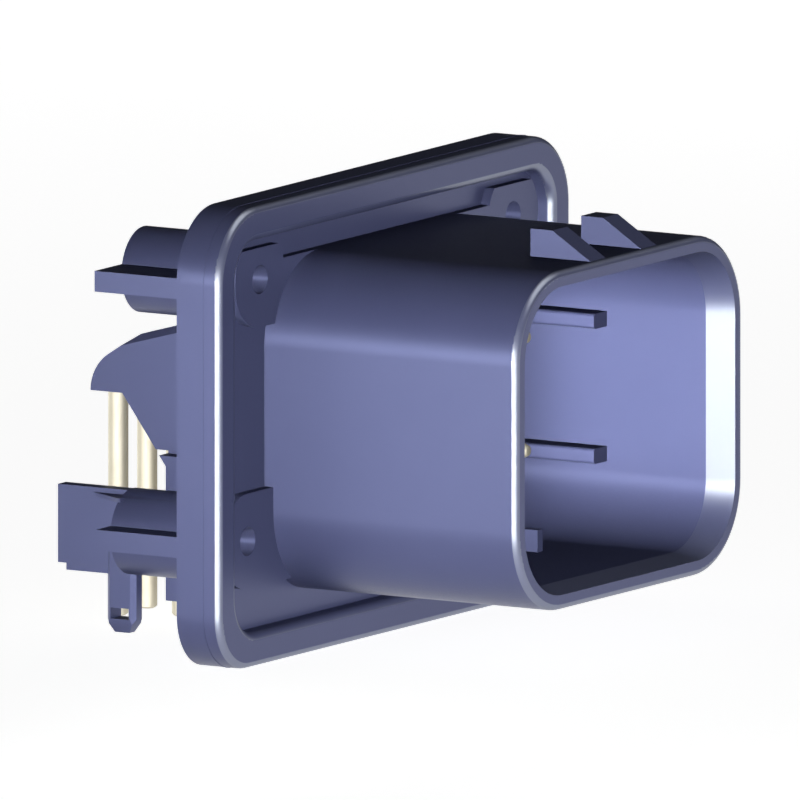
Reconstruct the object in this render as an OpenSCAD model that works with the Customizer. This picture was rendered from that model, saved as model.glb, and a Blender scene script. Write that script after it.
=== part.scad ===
// Right-angle board header for a sealed automotive connector: a moulded housing with a panel
// flange and a mating shroud, and fourteen round contacts that turn down to a circuit board.
// X is the width, -Y is the mating side and +Z is up. The origin is the centre of the
// flange's front rim, on the axis of the shroud. All sizes are in millimetres.

/* [Flange] */
// Width of the flange
flange_w = 48.6; // [47:0.1:56]
// Height of the flange
flange_h = 33.2; // [32:0.1:40]
// Thickness of the flange at the rim
flange_t = 3.6; // [3:0.1:5]
// Radius of the flange's upper corners, and of the rim's inner corners with its width added
flange_r = 5.2; // [4.5:0.1:6]
// Radius of the flange's lower corners
low_corner_r = 4.1; // [3.5:0.1:4.2]
// Width of the raised rim
rim_w = 2.45; // [1.8:0.05:3]
// Depth of the gasket recess inside the rim
recess_d = 1.5; // [1:0.1:2]
// Rounding of the rim's outer front edge
rim_outer_r = 0.5; // [0.1:0.05:0.7]
// Rounding of the rim's inner front edge
rim_inner_r = 0.6; // [0.1:0.05:0.7]

/* [Shroud] */
// Outside width of the shroud
shroud_w = 31.3; // [30:0.1:33]
// Outside height of the shroud
shroud_h = 24.5; // [23.5:0.1:26]
// Distance from the rim forward to the mouth
shroud_l = 19.55; // [16:0.05:26]
// Outside corner radius of the shroud
shroud_r = 6.3; // [5:0.1:8]
// Wall thickness of the shroud
shroud_wall = 1.5; // [1.2:0.1:2]
// Width of the lip around the mouth
lip_w = 1.1; // [0.7:0.05:1.15]
// Rounding of the lip's outer edge
lip_r = 0.5; // [0.1:0.05:0.6]
// Depth of the tapered lead-in behind the lip
lead_in_l = 2.2; // [1:0.1:4]
// Depth of the mating cavity's floor behind the rim
cavity_back = 1.6; // [0.8:0.1:2.4]

/* [Keys and latches] */
// Spacing of the two guide ribs on each side wall
guide_pitch = 9.75; // [8:0.05:11]
// Thickness of a guide rib
guide_t = 1.1; // [0.8:0.1:1.6]
// Height of a guide rib above the side wall
guide_h = 1.8; // [1.2:0.1:2.4]
// Rounding of a guide rib's free edges
guide_r = 0.25; // [0.1:0.05:0.35]
// Distance of the guide ribs and the key behind the mouth
guide_setback = 10.45; // [8:0.05:13]
// Distance of the floor key from the middle
key_x = 4.9; // [3:0.1:7]
// Width of the floor key
key_w = 0.7; // [0.6:0.1:2]
// Height of the floor key
key_h = 1.6; // [1:0.1:2.4]
// Spacing of the two latch wedges
wedge_pitch = 7; // [5:0.1:10]
// Width of a latch wedge
wedge_w = 2.1; // [1.5:0.1:3]
// Length of a latch wedge
wedge_l = 5; // [4:0.1:7]
// Length of the flat top of a latch wedge
wedge_flat = 1.8; // [1:0.1:2.5]
// Height of a latch wedge
wedge_h = 2; // [1.2:0.1:2.6]
// Distance of a latch wedge behind the mouth
wedge_setback = 0.55; // [0.5:0.05:3]

/* [Screw points] */
// Spacing of the two upper screw holes
upper_span = 35; // [34:0.1:36]
// Height of the upper screw holes above the middle
upper_z = 11.1; // [10.5:0.1:11.5]
// Spacing of the two lower screw holes
lower_span = 38.4; // [37.5:0.1:39]
// Height of the lower screw holes above the middle
lower_z = -7.6; // [-8:0.1:-7]
// Diameter of a screw hole
screw_d = 2.1; // [1.6:0.1:3]
// Depth of the screw holes behind the rim
screw_end = 8; // [6:0.1:8.4]
// Radius of the pad around a screw hole
pad_r = 3.45; // [3:0.05:3.7]
// Distance of the pads behind the rim
pad_back = 0.75; // [0.3:0.05:0.9]
// Gap between an upper pad and the rim above it
pad_gap = 0.75; // [0.4:0.05:1]
// Diameter of a boss behind the flange
boss_d = 6.2; // [5:0.1:6.6]
// Distance of the upper bosses' ends behind the rim
upper_boss_end = 10.45; // [9:0.05:12]
// Distance of the lower bosses' ends behind the rim
lower_boss_end = 10.35; // [9:0.05:12]
// Thickness of the webs from the bosses to the flange's sides
web_t = 1.5; // [1:0.1:2.2]

/* [Contacts] */
// Diameter of a contact
contact_d = 1.45; // [1.2:0.05:1.6]
// Spacing of the contacts in a row
column_pitch = 4; // [3.6:0.05:4.2]
// Spacing of the rows
row_pitch = 4.1; // [3.6:0.05:4.4]
// Spacing of the rows of tails
tail_pitch = 4.1; // [3.6:0.05:4.4]
// Distance of the contact tips in front of the rim
tip_reach = 6.3; // [4:0.1:8]
// Radius of the bend at the contact's centre line
bend_r = 3.5; // [2:0.1:3.6]
// Straight length between the carrier block and a lowest-row bend
bend_lead = 0.2; // [0.1:0.1:1]
// Length of the tails below the board seat
tail_below = 5.05; // [3:0.05:7]
// Length of the tapered point at a contact's mating end
point_l = 0.8; // [0.4:0.1:1.4]
// Diameter of the flat at the end of a contact's point
point_d = 0.7; // [0.3:0.05:0.9]
// Chamfer at the end of a contact's tail
tail_chamfer = 0.2; // [0.1:0.05:0.4]
// Clearance around a contact in its bore, on the radius
contact_gap = 0.02; // [0.01:0.005:0.05]

/* [Rear body] */
// Thickness of the contact carrier block behind the flange
block_t = 2.8; // [2:0.1:5]
// Height of the carrier block above the middle
block_top = 7.5; // [7:0.1:9]
// Depth of the carrier block below the middle
block_low = 8; // [6.5:0.1:9]
// Thickness of a side fin
fin_t = 2; // [1.2:0.1:2.4]
// Gap between a side fin and the nearest contact
fin_gap = 1.3; // [0.8:0.05:1.9]
// Radius of the fin's rounded end
fin_end_r = 3.25; // [2.6:0.05:3.4]
// Distance of the fin's end in front of the last row of tails
fin_short = 0.1; // [0:0.05:0.8]
// Distance of the fin's flat lower edge below the top row
fin_drop = 3.1; // [2.6:0.1:3.4]
// Length of the fin's flat lower edge
fin_lip = 2.65; // [2:0.05:2.8]
// Slope of the fin's lower edge
fin_cut = 54; // [45:1:60]
// Distance of the step under the fin below the middle
fin_foot = 2.85; // [2.4:0.05:2.9]
// Slope of the fin's back
fin_slope = 33; // [20:1:40]
// Length of the fin's sloping back
fin_back_l = 2.9; // [2:0.1:3.4]
// Chamfer on the outer edge of the fin's crest
fin_edge = 0.5; // [0.2:0.1:0.8]
// Thickness of a side leg
leg_t = 1.4; // [1.3:0.1:2.6]
// How far a side leg stands out from the fin
leg_proud = 1.2; // [0.4:0.1:1.2]
// Distance of a side leg's rear face behind the rim
leg_back = 11.2; // [9.5:0.1:11.4]
// Distance of a side leg's top below the middle
leg_top = 3.05; // [3:0.05:4]
// Overhang at the top of a side leg's rear face
leg_lip = 0.55; // [0.2:0.05:0.8]
// How far the fin's root reaches behind the side leg
fin_root = 0.5; // [0.1:0.1:0.8]
// Distance of a side leg's end below the middle
leg_end = 13.5; // [11:0.1:15]

/* [Board feet] */
// Distance of the board seat below the lower bosses
seat_step = 0.05; // [0.05:0.05:0.5]
// Distance of a board peg's axis behind the lower bosses' ends
peg_lead = 0.65; // [0.2:0.05:0.9]
// Thickness of a foot
foot_t = 1.1; // [0.8:0.1:1.3]
// Distance of a foot's rear end behind the rim
foot_back = 16.25; // [14.5:0.05:18]
// Distance of a foot's top below the top of its boss
foot_inset = 0.1; // [0.1:0.1:0.5]
// Height of the step at a foot's rear lower corner
foot_step_h = 0.5; // [0.2:0.1:1]
// Length of the step at a foot's rear lower corner
foot_step_l = 0.7; // [0.3:0.1:1.2]
// Thickness of the gusset between a foot and its boss
gusset_t = 0.3; // [0.2:0.1:0.8]
// Width of the gusset at the boss, from the foot's middle
gusset_w = 2.2; // [1.2:0.1:2.2]
// Length of the gusset along the foot
gusset_l = 3; // [1:0.1:3.4]
// Distance of the gusset's top below the top of the boss
gusset_drop = 0.45; // [0.35:0.05:1]
// Thickness of a board peg
peg_w = 1.45; // [1.1:0.05:2]
// Length of a board peg's section
peg_l = 2.4; // [2:0.1:3]
// Chamfer on a board peg's upright edges
peg_edge = 0.35; // [0.2:0.05:0.45]
// Length of a board peg below the board seat
peg_h = 4.2; // [3:0.1:5.4]
// Height of the taper at a board peg's tip
peg_tip = 1; // [0.5:0.1:1.4]
// Share of a board peg's section that is left at its tip
peg_point = 0.5; // [0.3:0.05:0.8]
// Height of the cross slot in a board peg
peg_slot = 0.8; // [0.4:0.1:1.2]
// Thickness of the peg in front of and behind its cross slot
peg_side = 0.45; // [0.4:0.05:0.7]

/* [Hidden] */
$fn = 96;
over = 0.3;
past = 1;
columns = 5;
shell_colour = [0.36, 0.38, 0.54];
contact_colour = [0.88, 0.85, 0.74];
mouth = shroud_l;
cavity_w = shroud_w - 2 * shroud_wall;
cavity_h = shroud_h - 2 * shroud_wall;
guide_front = mouth - guide_setback;
block_back = flange_t + block_t;
outer_x = (columns - 1) / 2 * column_pitch;
first_tail = block_back + bend_lead + bend_r;
last_tail = first_tail + 2 * tail_pitch;
fin_in = outer_x + contact_d / 2 + fin_gap;
fin_out = fin_in + fin_t;
leg_out = fin_out + leg_proud;
fin_low = row_pitch - fin_drop;
fin_end = [last_tail - fin_short - fin_end_r, fin_low];
fin_touch = fin_end + fin_end_r * [sin(fin_slope), cos(fin_slope)];
fin_crest = fin_touch + fin_back_l * [-cos(fin_slope), sin(fin_slope)];
fin_heel = last_tail - fin_short - fin_lip;
fin_knee = fin_heel - (fin_low + fin_foot) / tan(fin_cut);
fin_rear = leg_back + fin_root;
seat_z = lower_z - boss_d / 2 - seat_step;
foot_top = lower_z + boss_d / 2 - foot_inset;
gusset_low = lower_z + boss_d / 2 - gusset_drop - gusset_t;
tail_end = seat_z - tail_below;
peg_y = lower_boss_end + peg_lead;
peg_slot_l = peg_l - 2 * peg_side;

// Number of contacts, height and tail position of each row, from the top down
rows = [["top", columns, row_pitch, last_tail],
    ["middle", columns - 1, 0, first_tail + tail_pitch],
    ["bottom", columns, -row_pitch, first_tail]];

function contact_x(count, i) = (i - (count + 1) / 2) * column_pitch;

// Turns a shape drawn in X and Z, rising towards the mating side, into place
module to_front() {
    rotate([90, 0, 0]) children();
}

// Extrudes an outline drawn in X and Z from y0 back to y1
module along_y(y0, y1) {
    translate([0, y1, 0]) rotate([90, 0, 0]) linear_extrude(y1 - y0) children();
}

// Extrudes an outline drawn in Y and Z from x0 to x1
module along_x(x0, x1) {
    translate([x0, 0, 0]) rotate([90, 0, 90]) linear_extrude(x1 - x0) children();
}

// Draws a shape on the right and its mirror image on the left
module both_sides() {
    children();
    mirror([1, 0, 0]) children();
}

module rounded_rect(w, h, r) {
    square([w - 2 * r, h], center = true);
    square([w, h - 2 * r], center = true);
    for (sx = [-1, 1], sz = [-1, 1])
        translate([sx * (w / 2 - r), sz * (h / 2 - r)]) circle(r);
}

// Sweeps a section around a rounded rectangle, with x measured out from the corner's centre
module around(w, h, r) {
    for (k = [0:3]) {
        a = (k % 2 == 0 ? w : h) / 2 - r;
        b = (k % 2 == 0 ? h : w) / 2 - r;
        rotate([0, 0, 90 * k]) translate([a, b, 0]) {
            rotate_extrude(angle = 90) children();
            rotate([90, 0, 0]) linear_extrude(2 * b) children();
        }
    }
}

// Fills the middle that a swept section leaves open
module middle_of(w, h, r, z0, z1) {
    translate([0, 0, z0]) linear_extrude(z1 - z0) square([w - 2 * r, h - 2 * r], center = true);
}

// Upright bar that ends at radius r, with its outer front corner rounded
module edge_section(r) {
    x0 = r - rim_w + rim_inner_r;
    translate([x0, -flange_t]) square([r - rim_outer_r - x0, flange_t]);
    translate([r - rim_outer_r, -flange_t]) square([rim_outer_r, flange_t - rim_outer_r]);
    translate([r - rim_outer_r, -rim_outer_r]) circle(rim_outer_r);
}

// The same bar with its inner front corner rounded too
module rim_section() {
    x0 = flange_r - rim_w;
    edge_section(flange_r);
    translate([x0, -flange_t]) square([rim_inner_r, flange_t - rim_inner_r]);
    translate([x0 + rim_inner_r, -rim_inner_r]) circle(rim_inner_r);
}

// Fills out a lower corner of the flange from the rim's radius to its own
module low_corner() {
    run = flange_r - low_corner_r;
    translate([flange_w / 2 - low_corner_r, low_corner_r - flange_h / 2, 0]) {
        rotate([0, 0, -90]) rotate_extrude(angle = 90) edge_section(low_corner_r);
        rotate([0, 0, -90]) rotate([90, 0, 0]) linear_extrude(run) edge_section(low_corner_r);
        translate([0, run, 0]) rotate([90, 0, 0]) linear_extrude(run) edge_section(low_corner_r);
    }
}

module flange() {
    around(flange_w, flange_h, flange_r) rim_section();
    both_sides() low_corner();
    translate([0, 0, -flange_t]) linear_extrude(flange_t - recess_d)
        rounded_rect(flange_w - rim_w, flange_h - rim_w, flange_r - rim_w / 2);
}

module shroud_section() {
    translate([0, -flange_t]) square([shroud_r - lip_r, mouth + flange_t]);
    translate([shroud_r - lip_r, -flange_t]) square([lip_r, mouth + flange_t - lip_r]);
    translate([shroud_r - lip_r, mouth - lip_r]) circle(lip_r);
}

module shroud_body() {
    around(shroud_w, shroud_h, shroud_r) shroud_section();
    middle_of(shroud_w, shroud_h, shroud_r, -flange_t, mouth);
}

module cavity_section() {
    r = shroud_r - shroud_wall;
    mouth_r = shroud_r - lip_w;
    polygon([[0, -cavity_back], [r, -cavity_back], [r, mouth - lead_in_l], [mouth_r, mouth],
        [mouth_r, mouth + past], [0, mouth + past]]);
}

module cavity() {
    around(shroud_w, shroud_h, shroud_r) cavity_section();
    middle_of(shroud_w, shroud_h, shroud_r, -cavity_back, mouth + past);
}

// Round pad on the right, carried inwards to the shroud with a square corner
module pad_outline(x, z, inner_top) {
    inner_x = shroud_w / 2 - shroud_r;
    translate([x, z]) circle(pad_r);
    translate([inner_x, z - pad_r]) square([x - inner_x, inner_top - z + pad_r]);
}

module pads() {
    top = flange_h / 2 - rim_w - pad_gap;
    both_sides() along_y(pad_back, flange_t) {
        intersection() {
            pad_outline(upper_span / 2, upper_z, shroud_h / 2);
            translate([0, -flange_h]) square([flange_w, flange_h + top]);
        }
        pad_outline(lower_span / 2, lower_z, lower_z + pad_r);
    }
}

module wedges() {
    base = shroud_h / 2;
    back = -mouth + wedge_setback + wedge_l;
    front = -mouth + wedge_setback;
    for (side = [-1, 1])
        along_x(side * wedge_pitch / 2 - wedge_w / 2, side * wedge_pitch / 2 + wedge_w / 2)
            polygon([[back, base - over], [back, base + wedge_h], [back - wedge_flat, base + wedge_h],
                [front, base], [front, base - over]]);
}

// Ribs on the side walls and one square key on the floor of the cavity
module guides() {
    both_sides() for (side = [-1, 1])
        along_y(-guide_front, cavity_back + over) translate([cavity_w / 2, side * guide_pitch / 2]) {
            translate([-guide_h / 2, 0]) rounded_rect(guide_h, guide_t, guide_r);
            translate([-guide_h / 2, -guide_t / 2]) square([guide_h / 2 + over, guide_t]);
        }
    along_y(-guide_front, cavity_back + over)
        translate([key_x - key_w / 2, -cavity_h / 2 - over]) square([key_w, key_h + over]);
}

// Boss behind one right-hand screw hole, with its web out to the flange's side
module boss(x, z, end) {
    along_y(flange_t - over, end) {
        translate([x, z]) circle(d = boss_d);
        translate([x, z - web_t / 2]) square([flange_w / 2 - x, web_t]);
    }
}

module bosses() {
    both_sides() {
        boss(upper_span / 2, upper_z, upper_boss_end);
        boss(lower_span / 2, lower_z, lower_boss_end);
    }
}

module carrier_block() {
    along_y(flange_t - over, block_back)
        translate([-fin_out, -block_low]) square([2 * fin_out, block_top + block_low]);
}

module fin_outline() {
    front = flange_t - over;
    polygon([[front, -block_low], [front, block_top], [block_back, block_top], fin_crest, fin_touch,
        [fin_heel, fin_low], [fin_knee, -fin_foot], [fin_rear, -fin_foot], [fin_rear, -block_low]]);
    intersection() {
        translate(fin_end) circle(fin_end_r);
        translate(fin_end - [fin_end_r, 0]) square([2 * fin_end_r, fin_end_r]);
    }
}

// Wedge that takes off the outer edge of the crest, along its slope and past both ends
module fin_bevel() {
    slope = fin_crest - [block_back, block_top];
    reach = fin_edge + past;
    translate([fin_out, fin_crest[0], fin_crest[1]]) rotate([atan2(slope[1], slope[0]), 0, 0])
        along_y(-norm(slope) - fin_back_l, fin_back_l)
            polygon([[-reach, past], [past, past], [past, -reach]]);
}

module leg_outline() {
    front = flange_t - over;
    polygon([[front, -leg_end], [front, -leg_top], [leg_back + leg_lip, -leg_top],
        [leg_back, -leg_top - leg_lip * tan(fin_cut)], [leg_back, -leg_end]]);
}

module fins() {
    both_sides() {
        difference() {
            along_x(fin_in, fin_out) fin_outline();
            fin_bevel();
        }
        along_x(leg_out - leg_t, leg_out) leg_outline();
    }
}

// Tapers the lower end of an upright bar of width w, centred on zero
module tapered_end(w, z0, z1) {
    tip = w / 2 * peg_point;
    polygon([[-tip, z0], [tip, z0], [w / 2, z0 + peg_tip], [w / 2, z1],
        [-w / 2, z1], [-w / 2, z0 + peg_tip]]);
}

module peg_section() {
    x = peg_w / 2;
    y = peg_l / 2;
    polygon([[-x, -y + peg_edge], [-x + peg_edge, -y], [x - peg_edge, -y], [x, -y + peg_edge],
        [x, y - peg_edge], [x - peg_edge, y], [-x + peg_edge, y], [-x, y - peg_edge]]);
}

module peg() {
    low = seat_z - peg_h;
    difference() {
        intersection() {
            translate([0, 0, low]) linear_extrude(lower_z - low) peg_section();
            along_x(-peg_w, peg_w) tapered_end(peg_l, low, lower_z);
            along_y(-peg_l, peg_l) tapered_end(peg_w, low, lower_z);
        }
        translate([-peg_w, -peg_slot_l / 2, low + peg_tip]) cube([2 * peg_w, peg_slot_l, peg_slot]);
    }
}

module feet() {
    x = lower_span / 2;
    root = lower_boss_end - over;
    both_sides() {
        along_x(x - foot_t / 2, x + foot_t / 2)
            polygon([[root, seat_z], [foot_back - foot_step_l, seat_z],
                [foot_back - foot_step_l, seat_z + foot_step_h], [foot_back, seat_z + foot_step_h],
                [foot_back, foot_top], [root, foot_top]]);
        translate([x, 0, gusset_low]) linear_extrude(gusset_t)
            polygon([[0, root], [gusset_w, root], [gusset_w, lower_boss_end],
                [foot_t / 2, lower_boss_end + gusset_l], [0, lower_boss_end + gusset_l]]);
        translate([x, peg_y, 0]) peg();
    }
}

// Blind screw holes in the pads and bosses
module screw_holes() {
    both_sides() along_y(-past, screw_end) {
        translate([upper_span / 2, upper_z]) circle(d = screw_d);
        translate([lower_span / 2, lower_z]) circle(d = screw_d);
    }
}

module contact_bores() {
    for (row = rows, i = [1:row[1]])
        along_y(cavity_back - past, block_back + past)
            translate([contact_x(row[1], i), row[2]]) circle(d = contact_d + 2 * contact_gap);
}

module housing() {
    color(shell_colour) difference() {
        union() {
            difference() {
                union() {
                    to_front() flange();
                    to_front() shroud_body();
                    pads();
                }
                to_front() cavity();
            }
            guides();
            wedges();
            bosses();
            carrier_block();
            fins();
            feet();
        }
        screw_holes();
        contact_bores();
    }
}

// Round pin from its mating tip, through the carrier block and down to the board
module contact(x, z, tail_y) {
    bend_y = tail_y - bend_r;
    tip_y = -tip_reach + point_l;
    tail_z = tail_end + tail_chamfer;
    color(contact_colour) translate([x, 0, 0]) {
        translate([0, tip_y, z]) rotate([90, 0, 0]) cylinder(d1 = contact_d, d2 = point_d, h = point_l);
        translate([0, bend_y, z]) rotate([90, 0, 0]) cylinder(d = contact_d, h = bend_y - tip_y);
        translate([0, bend_y, z - bend_r]) rotate([90, 0, 90]) rotate_extrude(angle = 90)
            translate([bend_r, 0]) circle(d = contact_d);
        translate([0, tail_y, tail_z]) cylinder(d = contact_d, h = z - bend_r - tail_z);
        translate([0, tail_y, tail_end])
            cylinder(d1 = contact_d - 2 * tail_chamfer, d2 = contact_d, h = tail_chamfer);
    }
}

housing();
for (row = rows, i = [1:row[1]])
    contact(contact_x(row[1], i), row[2], row[3]);
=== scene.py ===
import math

import bmesh
import bpy
from mathutils import Matrix, Vector


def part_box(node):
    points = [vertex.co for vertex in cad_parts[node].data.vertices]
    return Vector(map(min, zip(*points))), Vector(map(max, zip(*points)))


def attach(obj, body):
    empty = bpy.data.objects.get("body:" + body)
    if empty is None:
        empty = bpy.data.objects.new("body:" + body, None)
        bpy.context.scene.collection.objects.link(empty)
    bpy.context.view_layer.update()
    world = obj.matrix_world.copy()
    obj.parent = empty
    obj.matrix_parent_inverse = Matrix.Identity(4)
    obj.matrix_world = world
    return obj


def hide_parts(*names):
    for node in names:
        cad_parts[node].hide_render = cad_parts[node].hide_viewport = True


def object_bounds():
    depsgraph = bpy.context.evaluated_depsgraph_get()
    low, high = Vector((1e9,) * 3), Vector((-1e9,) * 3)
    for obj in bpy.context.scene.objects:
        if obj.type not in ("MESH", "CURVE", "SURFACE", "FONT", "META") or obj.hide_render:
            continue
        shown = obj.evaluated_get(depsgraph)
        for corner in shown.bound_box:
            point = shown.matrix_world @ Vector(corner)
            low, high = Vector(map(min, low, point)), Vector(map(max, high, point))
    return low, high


bl_info = {
    "name": "Board header looks",
    "version": (1, 0, 0),
    "blender": (4, 5, 0),
    "location": "3D View > Sidebar > Header",
    "description": "Dresses a right-angle board header with a moulded housing, tinned contacts and a studio",
    "category": "Object",
}

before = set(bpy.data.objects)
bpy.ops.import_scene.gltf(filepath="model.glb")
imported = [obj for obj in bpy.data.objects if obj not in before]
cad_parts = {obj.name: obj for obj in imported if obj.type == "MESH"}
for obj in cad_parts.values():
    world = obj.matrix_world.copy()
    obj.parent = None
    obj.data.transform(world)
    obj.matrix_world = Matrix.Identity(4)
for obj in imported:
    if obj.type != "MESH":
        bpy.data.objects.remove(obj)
CAD_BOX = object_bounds()
HOUSING_LOW, HOUSING_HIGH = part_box("housing")
CONTACT_ROWS = (("top", 5), ("middle", 4), ("bottom", 5))
QUARTER_TURN = math.radians(90)

# Material slots of the housing
SATIN, POLISHED = 0, 1

# Points closer than the first are merged, and places closer than the second count as the same
MERGE_DISTANCE = 0.000001
NEAR = 0.00001

# Faces that turn by less than the first become one, and edges that turn by more than the second are rounded
FLAT_ANGLE = math.radians(0.2)
SHARP_ANGLE = math.radians(32)

# Least and greatest share of Y in the normal of a rounded or tapered face
SLANT = (0.1, 0.995)

# Faces across a rounding: on the housing's edges, the parting line's corners and a contact's ends
EDGE_STEPS = 2
CORNER_STEPS = 16
END_STEPS = 3

# How strongly large faces set the shading of the housing and of a contact
HOUSING_FLATNESS = 80
CONTACT_FLATNESS = 50

# Scales of the clouding and the grain on each surface, and the grain's share of the height
MOULD_MARKS = (160, 5200)
POLISH_MARKS = (220, 5200)
PLATING_MARKS = (5200, 16000)
GRAIN_SHARE = 0.6

# How far the roughness swings around its mean, and the share of the grain that polishing leaves
ROUGHNESS_SWING = 0.07
POLISH_SWING = 0.05
POLISHED_GRAIN = 1 / 8

# Scale of the marks in X, Y and Z: even, and drawn out along a contact, which runs in Y and Z
EVEN = (1, 1, 1)
ALONG_WIRE = (1, 0.05, 0.05)

# Finish and sides of the floor, and the near and far end of the camera's view
FLOOR_ROUGHNESS = 0.9
FLOOR_SIDES = 96
CLIP_START = 0.01
CLIP_END = 20


class HousingSettings(bpy.types.PropertyGroup):
    """Sizes and finish of the moulded housing"""

    colour: bpy.props.FloatVectorProperty(
        name="Plastic", description="Colour of the moulded plastic",
        subtype="COLOR", size=3, min=0, max=1, default=(0.104, 0.116, 0.238))
    deep_colour: bpy.props.FloatVectorProperty(
        name="Deep plastic", description="Colour of the plastic where the pigment lies thicker",
        subtype="COLOR", size=3, min=0, max=1, default=(0.089, 0.1, 0.212))
    roughness: bpy.props.FloatProperty(
        name="Roughness", description="Mean roughness of the satin walls",
        subtype="FACTOR", min=0, max=1, default=0.36)
    sheen: bpy.props.FloatProperty(
        name="Sheen", description="Specular level of the satin walls",
        subtype="FACTOR", min=0, max=1, default=0.9)
    sheen_colour: bpy.props.FloatVectorProperty(
        name="Sheen colour", description="Tint of the sheen on the satin walls",
        subtype="COLOR", size=3, min=0, max=1, default=(0.5, 0.56, 1.0))
    polish: bpy.props.FloatProperty(
        name="Polish", description="Mean roughness of the polished rim, lip and lead-in",
        subtype="FACTOR", min=0, max=1, default=0.36)
    polish_colour: bpy.props.FloatVectorProperty(
        name="Polish colour", description="Tint of the gloss on the polished faces",
        subtype="COLOR", size=3, min=0, max=1, default=(0.86, 0.92, 1.0))
    gloss: bpy.props.FloatProperty(
        name="Gloss", description="Specular level of the polished faces",
        subtype="FACTOR", min=0, max=1, default=1)
    gloss_index: bpy.props.FloatProperty(
        name="Gloss index", description="Refractive index of the polished faces",
        min=1, max=3, default=2)
    edge_round: bpy.props.FloatProperty(
        name="Edge rounding", description="Rounding of the edges that the mould leaves sharp",
        unit="LENGTH", min=0, max=0.0003, default=0.00007)
    lead_in: bpy.props.FloatProperty(
        name="Lead-in", description="Depth of the tapered lead-in behind the mouth",
        unit="LENGTH", min=0.001, max=0.004, default=0.0022)
    rim_fillet: bpy.props.FloatProperty(
        name="Rim fillet", description="Largest rounding on the rim and the lip",
        unit="LENGTH", min=0.0001, max=0.0007, default=0.0006)
    grain: bpy.props.FloatProperty(
        name="Grain", description="Depth of the moulded grain",
        unit="LENGTH", min=0, max=0.00005, default=0.000006)


class SeamSettings(bpy.types.PropertyGroup):
    """Sizes of the mould's parting line around the flange"""

    back: bpy.props.FloatProperty(
        name="Distance", description="Distance of the line behind the rim",
        unit="LENGTH", min=0.0005, max=0.003, default=0.0014)
    width: bpy.props.FloatProperty(
        name="Width", description="Width of the line",
        unit="LENGTH", min=0.00005, max=0.0003, default=0.00012)
    proud: bpy.props.FloatProperty(
        name="Height", description="How far the line stands out",
        unit="LENGTH", min=0.00001, max=0.0001, default=0.00003)
    corner: bpy.props.FloatProperty(
        name="Upper corner", description="Radius of the flange's upper corners",
        unit="LENGTH", min=0.0045, max=0.006, default=0.0052)
    low_corner: bpy.props.FloatProperty(
        name="Lower corner", description="Radius of the flange's lower corners",
        unit="LENGTH", min=0.0035, max=0.0042, default=0.0041)
    depth: bpy.props.FloatProperty(
        name="Root", description="How deep the line is rooted in the flange",
        unit="LENGTH", min=0.0001, max=0.001, default=0.0004)


class ContactSettings(bpy.types.PropertyGroup):
    """Sizes and finish of the round contacts"""

    bend: bpy.props.FloatProperty(
        name="Bend", description="Bend radius at the contact's centre line",
        unit="LENGTH", min=0.002, max=0.0036, default=0.0035)
    point: bpy.props.FloatProperty(
        name="Point length", description="Length of the tapered point at the mating end",
        unit="LENGTH", min=0.0004, max=0.0014, default=0.0008)
    point_width: bpy.props.FloatProperty(
        name="Point width", description="Diameter of the flat at the end of a point",
        unit="LENGTH", min=0.0003, max=0.0009, default=0.0007)
    chamfer: bpy.props.FloatProperty(
        name="Tail chamfer", description="Chamfer at the end of a tail",
        unit="LENGTH", min=0.0001, max=0.0004, default=0.0002)
    end_round: bpy.props.FloatProperty(
        name="End rounding", description="Rounding of the edges around the two end faces",
        unit="LENGTH", min=0.00002, max=0.0002, default=0.0001)
    sides: bpy.props.IntProperty(
        name="Sides", description="Faces around a contact", min=12, max=64, default=32)
    steps: bpy.props.IntProperty(
        name="Bend steps", description="Faces along the bend", min=6, max=32, default=14)
    colour: bpy.props.FloatVectorProperty(
        name="Plating", description="Colour of the plating",
        subtype="COLOR", size=3, min=0, max=1, default=(0.8, 0.76, 0.62))
    dull_colour: bpy.props.FloatVectorProperty(
        name="Dull plating", description="Colour of the plating in its drawing marks",
        subtype="COLOR", size=3, min=0, max=1, default=(0.62, 0.57, 0.45))
    roughness: bpy.props.FloatProperty(
        name="Roughness", description="Mean roughness of the plating",
        subtype="FACTOR", min=0, max=1, default=0.59)
    metallic: bpy.props.FloatProperty(
        name="Metallic", description="How far the dull plating shines as bare metal does",
        subtype="FACTOR", min=0, max=1, default=0.7)
    marks: bpy.props.FloatProperty(
        name="Drawing marks", description="Depth of the drawing marks",
        unit="LENGTH", min=0, max=0.00002, default=0.000004)


class StageSettings(bpy.types.PropertyGroup):
    """Camera, floor and light of the studio"""

    azimuth: bpy.props.FloatProperty(
        name="Azimuth", description="Turn of the camera from the mating side",
        unit="ROTATION", default=math.radians(-58.9))
    elevation: bpy.props.FloatProperty(
        name="Elevation", description="Height of the camera above the horizon",
        unit="ROTATION", default=math.radians(8.78))
    width: bpy.props.FloatProperty(
        name="View width", description="Width of the view at the part",
        unit="LENGTH", default=0.05714)
    target: bpy.props.FloatVectorProperty(
        name="Aim", description="Shift of the view's centre to the right and up",
        subtype="XYZ", unit="LENGTH", size=2, default=(0.000318, 0.000136))
    distance: bpy.props.FloatProperty(
        name="Distance", description="Distance of the camera from the part",
        unit="LENGTH", default=0.6)
    floor_colour: bpy.props.FloatVectorProperty(
        name="Floor", description="Colour of the floor",
        subtype="COLOR", size=3, min=0, max=1, default=(0.6, 0.6, 0.6))
    floor_glow: bpy.props.FloatProperty(
        name="Floor white", description="White that the floor shows to the camera and in reflections",
        min=0, max=1, default=0.87)
    floor_radius: bpy.props.FloatProperty(
        name="Floor radius", description="Radius of the floor",
        unit="LENGTH", default=4)
    world: bpy.props.FloatProperty(
        name="Room light", description="Strength of the even room light", min=0, default=0.015)
    horizon: bpy.props.FloatProperty(
        name="Horizon", description="Rise of a view ray under which the room is white as the floor",
        min=0, max=0.01, default=0.001)


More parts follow.
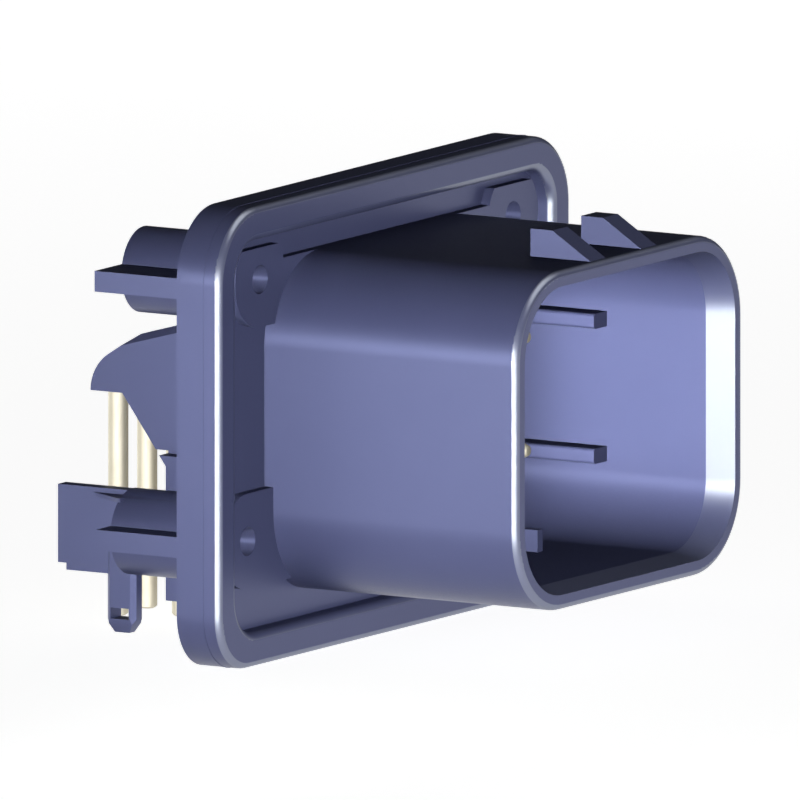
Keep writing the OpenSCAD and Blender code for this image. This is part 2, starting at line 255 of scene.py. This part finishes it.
def settings():
    """Gives the settings of the open scene."""
    return bpy.context.scene.header_looks


def new_object(name, mesh):
    """Adds a mesh to the scene as an object at the origin."""
    piece = bpy.data.objects.new(name, mesh)
    bpy.context.scene.collection.objects.link(piece)
    return piece


def add(tree, kind, **values):
    """Adds a node and sets its properties and its inputs, where an input's name has _ for a space."""
    node = tree.nodes.new(kind)
    for key, value in values.items():
        name = key.replace("_", " ")
        if name in node.inputs:
            node.inputs[name].default_value = value
        else:
            setattr(node, key, value)
    return node


def blend_colours(tree, factor, first, second):
    """Mixes two plain colours by a factor that changes over the surface."""
    # A Mix node's names repeat for each type of data, so its sockets are taken by number
    mix = add(tree, "ShaderNodeMix", data_type="RGBA")
    tree.links.new(factor, mix.inputs[0])
    mix.inputs[6].default_value = (*first, 1)
    mix.inputs[7].default_value = (*second, 1)
    return mix.outputs[2]


def span(tree, value, low, high):
    """Maps a value from 0 to 1 onto a range."""
    ramp = add(tree, "ShaderNodeMapRange", To_Min=low, To_Max=high)
    tree.links.new(value, ramp.inputs["Value"])
    return ramp.outputs["Result"]


def around(mean, swing):
    """Gives the lowest and highest value around a mean."""
    return mean - swing, mean + swing


def surface_marks():
    """Builds the node group that gives broad clouding, fine grain and their height."""
    name = "surface_marks"
    if name in bpy.data.node_groups:
        return bpy.data.node_groups[name]
    group = bpy.data.node_groups.new(name, "ShaderNodeTree")
    sockets = group.interface
    sockets.new_socket("Vector", in_out="INPUT", socket_type="NodeSocketVector")
    for label, value in zip(("Cloud Scale", "Grain Scale", "Grain Share"), (*MOULD_MARKS, GRAIN_SHARE)):
        sockets.new_socket(label, in_out="INPUT", socket_type="NodeSocketFloat").default_value = value
    for label in ("Cloud", "Grain", "Height"):
        sockets.new_socket(label, in_out="OUTPUT", socket_type="NodeSocketFloat")
    source = group.nodes.new("NodeGroupInput")
    sink = group.nodes.new("NodeGroupOutput")
    cloud = add(group, "ShaderNodeTexNoise", Detail=3.0, Roughness=0.55)
    grain = add(group, "ShaderNodeTexNoise", Detail=2.0, Roughness=0.5)
    height = add(group, "ShaderNodeMix", data_type="FLOAT")
    for node, scale in ((cloud, "Cloud Scale"), (grain, "Grain Scale")):
        group.links.new(source.outputs["Vector"], node.inputs["Vector"])
        group.links.new(source.outputs[scale], node.inputs["Scale"])
    group.links.new(source.outputs["Grain Share"], height.inputs[0])
    group.links.new(cloud.outputs[0], height.inputs[2])
    group.links.new(grain.outputs[0], height.inputs[3])
    group.links.new(cloud.outputs[0], sink.inputs["Cloud"])
    group.links.new(grain.outputs[0], sink.inputs["Grain"])
    group.links.new(height.outputs[0], sink.inputs["Height"])
    return group


def marked_material(name, first, second, rough, depth, stretch, scales):
    """Starts a material whose colour, roughness and bump follow the surface marks.

    rough is its lowest and highest roughness, depth is the bump's, stretch scales the pattern
    along X, Y and Z, and scales are the group's cloud and grain scale.
    """
    material = bpy.data.materials.new(name)
    material.use_nodes = True
    tree = material.node_tree
    shader = tree.nodes["Principled BSDF"]
    place = add(tree, "ShaderNodeTexCoord")
    mapping = add(tree, "ShaderNodeMapping", Scale=stretch)
    marks = add(tree, "ShaderNodeGroup", node_tree=surface_marks())
    marks.inputs["Cloud Scale"].default_value = scales[0]
    marks.inputs["Grain Scale"].default_value = scales[1]
    tree.links.new(place.outputs["Object"], mapping.inputs["Vector"])
    tree.links.new(mapping.outputs["Vector"], marks.inputs["Vector"])
    tree.links.new(blend_colours(tree, marks.outputs["Cloud"], first, second), shader.inputs["Base Color"])
    tree.links.new(span(tree, marks.outputs["Grain"], *rough), shader.inputs["Roughness"])
    bump = add(tree, "ShaderNodeBump", Strength=1.0, Distance=depth)
    tree.links.new(marks.outputs["Height"], bump.inputs["Height"])
    tree.links.new(bump.outputs["Normal"], shader.inputs["Normal"])
    return material, shader


def satin_plastic():
    """The housing's plastic on its textured walls."""
    name = "satin_moulded_plastic"
    if name in bpy.data.materials:
        return bpy.data.materials[name]
    s = settings().housing
    rough = around(s.roughness, ROUGHNESS_SWING)
    material, shader = marked_material(
        name, s.deep_colour, s.colour, rough, s.grain, EVEN, MOULD_MARKS)
    shader.inputs["Specular IOR Level"].default_value = s.sheen
    shader.inputs["Specular Tint"].default_value = (*s.sheen_colour, 1)
    return material


def polished_plastic():
    """The housing's plastic on its polished rim, lip and lead-in."""
    s = settings().housing
    rough = around(s.polish, POLISH_SWING)
    material, shader = marked_material(
        "polished_plastic_edge", s.deep_colour, s.colour, rough, s.grain * POLISHED_GRAIN, EVEN, POLISH_MARKS)
    shader.inputs["IOR"].default_value = s.gloss_index
    shader.inputs["Specular IOR Level"].default_value = s.gloss
    shader.inputs["Specular Tint"].default_value = (*s.polish_colour, 1)
    return material


def tinned_metal():
    """The contacts' plating, with drawing marks along the wire."""
    s = settings().contacts
    rough = around(s.roughness, ROUGHNESS_SWING)
    material, shader = marked_material(
        "tinned_contact", s.dull_colour, s.colour, rough, s.marks, ALONG_WIRE, PLATING_MARKS)
    shader.inputs["Metallic"].default_value = s.metallic
    return material


def flatten_shading(piece, name, weight, keep_sharp=False):
    """Lets the large faces of a piece set its shading."""
    normals = piece.modifiers.new(name, "WEIGHTED_NORMAL")
    normals.mode = "FACE_AREA"
    normals.weight = weight
    normals.keep_sharp = keep_sharp


class HEADER_OT_housing(bpy.types.Operator):
    """Make the moulded housing from a merged copy of its solid, with rounded and polished edges"""

    bl_idname = "header.housing"
    bl_label = "Moulded housing"

    def execute(self, context):
        s = settings().housing
        bm = bmesh.new()
        bm.from_mesh(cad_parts["housing"].data)
        bmesh.ops.remove_doubles(bm, verts=bm.verts, dist=MERGE_DISTANCE)
        bmesh.ops.dissolve_limit(
            bm, angle_limit=FLAT_ANGLE, use_dissolve_boundaries=False, verts=bm.verts, edges=bm.edges)
        bm.normal_update()
        lead_end = HOUSING_LOW.y + s.lead_in
        weight = bm.edges.layers.float.new("bevel_weight_edge")
        for edge in bm.edges:
            sharp = edge.calc_face_angle(0) > SHARP_ANGLE
            taper = all(abs(v.co.y - lead_end) < NEAR for v in edge.verts)
            edge.smooth = not (sharp or taper)
            edge[weight] = 1.0 if sharp else 0.0
        for face in bm.faces:
            face.smooth = True
            ys = [v.co.y for v in face.verts]
            on_lip = max(ys) < lead_end + NEAR
            on_rim = min(ys) > -NEAR and max(ys) < s.rim_fillet + NEAR
            slanted = SLANT[0] < abs(face.normal.y) < SLANT[1]
            face.material_index = POLISHED if (on_lip or on_rim) and slanted else SATIN
        mesh = bpy.data.meshes.new("housing_moulding")
        bm.to_mesh(mesh)
        bm.free()
        mesh.materials.append(satin_plastic())
        mesh.materials.append(polished_plastic())
        piece = new_object("housing_moulding", mesh)
        bevel = piece.modifiers.new("worn_edges", "BEVEL")
        bevel.width = s.edge_round
        bevel.segments = EDGE_STEPS
        bevel.limit_method = "WEIGHT"
        bevel.profile = 0.5
        bevel.material = -1
        bevel.use_clamp_overlap = True
        flatten_shading(piece, "flat_walls", HOUSING_FLATNESS, keep_sharp=True)
        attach(piece, "root")
        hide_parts("housing")
        return {"FINISHED"}


class HEADER_OT_seam(bpy.types.Operator):
    """Make the mould's parting line around the flange's edge"""

    bl_idname = "header.seam"
    bl_label = "Parting line"

    def execute(self, context):
        s = settings().seam
        half_x = HOUSING_HIGH.x + s.proud
        half_z = HOUSING_HIGH.z + s.proud
        bm = bmesh.new()
        bmesh.ops.create_grid(bm, x_segments=1, y_segments=1, size=1)
        bmesh.ops.scale(bm, vec=(half_x, half_z, 1), verts=bm.verts)
        upper = [v for v in bm.verts if v.co.y > 0]
        lower = [v for v in bm.verts if v.co.y < 0]
        for corners, radius in ((upper, s.corner), (lower, s.low_corner)):
            bmesh.ops.bevel(
                bm, geom=corners, offset=radius + s.proud, offset_type="OFFSET", affect="VERTICES",
                segments=CORNER_STEPS, profile=0.5, material=-1)
        inner = bmesh.ops.inset_region(
            bm, faces=list(bm.faces), thickness=s.depth, use_boundary=True, use_even_offset=True)
        ring = set(inner["faces"])
        bmesh.ops.delete(bm, geom=[f for f in bm.faces if f not in ring], context="FACES")
        grown = bmesh.ops.extrude_face_region(bm, geom=list(bm.faces))
        moved = [v for v in grown["geom"] if isinstance(v, bmesh.types.BMVert)]
        bmesh.ops.translate(bm, vec=(0, 0, s.width), verts=moved)
        bmesh.ops.rotate(bm, cent=(0, 0, 0), matrix=Matrix.Rotation(QUARTER_TURN, 3, "X"), verts=bm.verts)
        bmesh.ops.translate(bm, vec=(0, s.back + s.width / 2, 0), verts=bm.verts)
        bmesh.ops.recalc_face_normals(bm, faces=bm.faces)
        mesh = bpy.data.meshes.new("flange_parting_line")
        bm.to_mesh(mesh)
        bm.free()
        mesh.materials.append(satin_plastic())
        piece = new_object("flange_parting_line", mesh)
        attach(piece, "root")
        return {"FINISHED"}


def ring_edges(verts):
    """Gives the edges of a closed ring from its vertices."""
    ring = set(verts)
    touching = dict.fromkeys(e for v in verts for e in v.link_edges)
    return [e for e in touching if ring.issuperset(e.verts)]


class HEADER_OT_contacts(bpy.types.Operator):
    """Make each contact by drawing a round section along its bent line"""

    bl_idname = "header.contacts"
    bl_label = "Contacts"

    def execute(self, context):
        metal = tinned_metal()
        for row, count in CONTACT_ROWS:
            for number in range(1, count + 1):
                self.make(f"contact_{row}_{number}", metal)
        return {"FINISHED"}

    def make(self, node, metal):
        """Makes the contact that stands for a node, from its tip to the end of its tail."""
        s = settings().contacts
        low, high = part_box(node)
        radius = (high.x - low.x) / 2
        x = (low.x + high.x) / 2
        z = high.z - radius
        tail_y = high.y - radius
        bend_y = tail_y - s.bend
        bm = bmesh.new()
        upright = Matrix.Rotation(QUARTER_TURN, 4, "X")
        tip = Matrix.Translation((x, low.y, z)) @ upright
        made = bmesh.ops.create_circle(
            bm, cap_ends=True, segments=s.sides, radius=s.point_width / 2, matrix=tip)
        edges = ring_edges(made["verts"])

        def draw(to, scale=1.0, centre=(0, 0, 0)):
            """Draws the last ring on by a distance, and scales it about its new centre."""
            nonlocal edges
            grown = bmesh.ops.extrude_edge_only(bm, edges=edges)["geom"]
            verts = [v for v in grown if isinstance(v, bmesh.types.BMVert)]
            edges = ring_edges(verts)
            bmesh.ops.translate(bm, vec=to, verts=verts)
            bmesh.ops.scale(
                bm, vec=(scale,) * 3, verts=verts, space=Matrix.Translation(-Vector(centre)))

        widen = 2 * radius / s.point_width
        draw((0, s.point, 0), widen, (x, low.y + s.point, z))
        draw((0, bend_y - low.y - s.point, 0))
        turned = bmesh.ops.spin(
            bm, geom=edges, cent=(x, bend_y, z - s.bend), axis=(1, 0, 0), dvec=(0, 0, 0),
            angle=-QUARTER_TURN, steps=s.steps, use_merge=False, use_duplicate=False)
        edges = ring_edges([v for v in turned["geom_last"] if isinstance(v, bmesh.types.BMVert)])
        draw((0, 0, low.z + s.chamfer - (z - s.bend)))
        draw((0, 0, -s.chamfer), 1 - s.chamfer / radius, (x, tail_y, low.z))
        bmesh.ops.contextual_create(bm, geom=edges)
        bmesh.ops.recalc_face_normals(bm, faces=bm.faces)
        ends = [f for f in bm.faces if len(f.verts) == s.sides]
        for face in bm.faces:
            face.smooth = True
        bmesh.ops.bevel(
            bm, geom=[e for f in ends for e in f.edges], offset=s.end_round, offset_type="OFFSET",
            affect="EDGES", segments=END_STEPS, profile=0.5, material=-1)
        mesh = bpy.data.meshes.new(node.replace("contact", "tinned_contact"))
        bm.to_mesh(mesh)
        bm.free()
        mesh.materials.append(metal)
        piece = new_object(mesh.name, mesh)
        flatten_shading(piece, "flat_ends", CONTACT_FLATNESS)
        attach(piece, "root")
        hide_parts(node)


def direction(azimuth, elevation):
    """Gives the unit vector from the part towards a place around it."""
    flat = math.cos(elevation)
    return Vector((math.sin(azimuth) * flat, -math.cos(azimuth) * flat, math.sin(elevation)))


def around_part(azimuth, elevation, distance):
    """Gives a place around the part, with its angles in degrees."""
    return direction(math.radians(azimuth), math.radians(elevation)) * distance


def softbox(name, place, aim, size, power, shine=True, fill=True, shade=True, spread=180):
    """Adds a rectangular lamp at a place, facing its aim, that the camera doesn't see.

    Without shine it doesn't show in gloss, without fill it shows only there, and without shade
    its light reaches into the part and isn't thrown back. spread is the width of its beam in degrees.
    """
    lamp = bpy.data.lights.new(name, "AREA")
    lamp.shape = "RECTANGLE"
    lamp.size, lamp.size_y = size
    lamp.energy = power
    lamp.spread = math.radians(spread)
    lamp.use_shadow = shade
    lamp.cycles.use_multiple_importance_sampling = shade
    if not shade:
        lamp.cycles.max_bounces = 0
    piece = bpy.data.objects.new(name, lamp)
    piece.location = place
    piece.rotation_mode = "QUATERNION"
    piece.rotation_quaternion = (place - aim).to_track_quat("Z", "Y")
    piece.visible_camera = False
    piece.visible_glossy = shine
    piece.visible_diffuse = fill
    bpy.context.scene.collection.objects.link(piece)


def seen_rays(tree):
    """Gives 1 for the rays that show the background: the camera's, and those of gloss and glass."""
    light = add(tree, "ShaderNodeLightPath")
    seen = light.outputs["Is Camera Ray"]
    for kind in ("Is Glossy Ray", "Is Transmission Ray"):
        either = add(tree, "ShaderNodeMath", operation="MAXIMUM")
        tree.links.new(seen, either.inputs[0])
        tree.links.new(light.outputs[kind], either.inputs[1])
        seen = either.outputs[0]
    return seen


class HEADER_OT_stage(bpy.types.Operator):
    """Make the floor, the lamps, the room light and the camera"""

    bl_idname = "header.stage"
    bl_label = "Studio"

    def execute(self, context):
        s = settings().stage
        context.scene.view_settings.view_transform = "Standard"
        self.make_floor(s)
        self.make_world(s)
        self.make_lamps()
        self.make_camera(s)
        return {"FINISHED"}

    def make_lamps(self):
        """Makes the lamps around the part and the two that light the mating cavity's far wall."""
        middle = Vector((0, 0, 0))
        far_wall = Vector((0.013, -0.013, 0))
        softbox(
            "left_softbox", around_part(azimuth=-111, elevation=3, distance=0.3), middle,
            size=(0.08, 0.06), power=0.265, shade=False)
        softbox(
            "front_strip", around_part(azimuth=-62, elevation=-5, distance=0.3), middle,
            size=(0.4, 0.1), power=1.0, fill=False, shade=False)
        softbox(
            "front_fill", Vector((-0.06, -0.16, 0)), middle,
            size=(0.08, 0.08), power=0.13, shine=False, shade=False)
        softbox(
            "right_fill", around_part(azimuth=100, elevation=3, distance=0.5), middle,
            size=(0.3, 0.15), power=0.9, shine=False)
        softbox(
            "back_fill", around_part(azimuth=175, elevation=3, distance=0.5), middle,
            size=(0.3, 0.15), power=0.9)
        softbox(
            "top_softbox", around_part(azimuth=30, elevation=60, distance=0.4), middle,
            size=(0.35, 0.35), power=0.8, fill=False)
        softbox(
            "mouth_spot", Vector((-0.09, -0.018, 0)), far_wall,
            size=(0.03, 0.03), power=0.0036, shade=False, spread=55)
        softbox(
            "cavity_fill", Vector((-0.008, -0.013, 0)), far_wall,
            size=(0.018, 0.016), power=0.0012, shine=False, shade=False, spread=25)

    def make_floor(self, s):
        """Makes the floor under the part, which is white to the camera and keeps its shadow."""
        bm = bmesh.new()
        bmesh.ops.create_circle(
            bm, cap_ends=True, segments=FLOOR_SIDES, radius=s.floor_radius,
            matrix=Matrix.Translation((0, 0, CAD_BOX[0].z)))
        mesh = bpy.data.meshes.new("studio_floor")
        bm.to_mesh(mesh)
        bm.free()
        material = bpy.data.materials.new("pale_floor")
        material.use_nodes = True
        tree = material.node_tree
        shader = tree.nodes["Principled BSDF"]
        shader.inputs["Base Color"].default_value = (*s.floor_colour, 1)
        shader.inputs["Roughness"].default_value = FLOOR_ROUGHNESS
        shader.inputs["Specular IOR Level"].default_value = 0.0
        shader.inputs["Emission Color"].default_value = (1, 1, 1, 1)
        tree.links.new(span(tree, seen_rays(tree), 0, s.floor_glow), shader.inputs["Emission Strength"])
        mesh.materials.append(material)
        new_object("studio_floor", mesh)

    def make_world(self, s):
        """Makes the dim even room light, with white below the horizon as on the floor."""
        world = bpy.data.worlds.new("studio_room")
        world.use_nodes = True
        tree = world.node_tree
        room = tree.nodes["Background"]
        room.inputs["Color"].default_value = (1, 1, 1, 1)
        place = add(tree, "ShaderNodeTexCoord")
        axes = add(tree, "ShaderNodeSeparateXYZ")
        below = add(tree, "ShaderNodeMath", operation="LESS_THAN")
        below.inputs[1].default_value = s.horizon
        white = add(tree, "ShaderNodeMath", operation="MULTIPLY")
        tree.links.new(place.outputs["Generated"], axes.inputs["Vector"])
        tree.links.new(axes.outputs["Z"], below.inputs[0])
        tree.links.new(below.outputs[0], white.inputs[0])
        tree.links.new(seen_rays(tree), white.inputs[1])
        tree.links.new(span(tree, white.outputs[0], s.world, 1), room.inputs["Strength"])
        bpy.context.scene.world = world

    def make_camera(self, s):
        """Makes the camera, which sees the part without perspective."""
        data = bpy.data.cameras.new("photo_camera")
        data.type = "ORTHO"
        data.ortho_scale = s.width
        data.clip_start = CLIP_START
        data.clip_end = CLIP_END
        camera = bpy.data.objects.new("photo_camera", data)
        towards = direction(s.azimuth, s.elevation)
        turn = towards.to_track_quat("Z", "Y")
        aim = turn @ Vector((s.target[0], s.target[1], 0))
        camera.location = aim + towards * s.distance
        camera.rotation_mode = "QUATERNION"
        camera.rotation_quaternion = turn
        bpy.context.scene.collection.objects.link(camera)
        bpy.context.scene.camera = camera


class HeaderLooks(bpy.types.PropertyGroup):
    """All settings of the board header's looks"""

    housing: bpy.props.PointerProperty(
        name="Housing", description="Settings of the moulded housing", type=HousingSettings)
    seam: bpy.props.PointerProperty(
        name="Parting line", description="Settings of the parting line", type=SeamSettings)
    contacts: bpy.props.PointerProperty(
        name="Contacts", description="Settings of the contacts", type=ContactSettings)
    stage: bpy.props.PointerProperty(
        name="Studio", description="Settings of the studio", type=StageSettings)


class HEADER_PT_looks(bpy.types.Panel):
    """List the steps that dress the board header"""

    bl_idname = "HEADER_PT_looks"
    bl_label = "Board header"
    bl_space_type = "VIEW_3D"
    bl_region_type = "UI"
    bl_category = "Header"

    def draw(self, context):
        """Draws a button for each step."""
        for step in STEPS:
            self.layout.operator(step.bl_idname)


STEPS = (HEADER_OT_housing, HEADER_OT_seam, HEADER_OT_contacts, HEADER_OT_stage)
SETTINGS = (HousingSettings, SeamSettings, ContactSettings, StageSettings, HeaderLooks)
CLASSES = (*SETTINGS, *STEPS, HEADER_PT_looks)


def register():
    """Registers the classes and the settings."""
    for cls in CLASSES:
        bpy.utils.register_class(cls)
    bpy.types.Scene.header_looks = bpy.props.PointerProperty(type=HeaderLooks)


def unregister():
    """Takes the settings and the classes away again."""
    del bpy.types.Scene.header_looks
    for cls in reversed(CLASSES):
        bpy.utils.unregister_class(cls)


def main():
    """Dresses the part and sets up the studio."""
    register()
    bpy.ops.header.housing()
    bpy.ops.header.seam()
    bpy.ops.header.contacts()
    bpy.ops.header.stage()


if __name__ == "__main__":
    main()
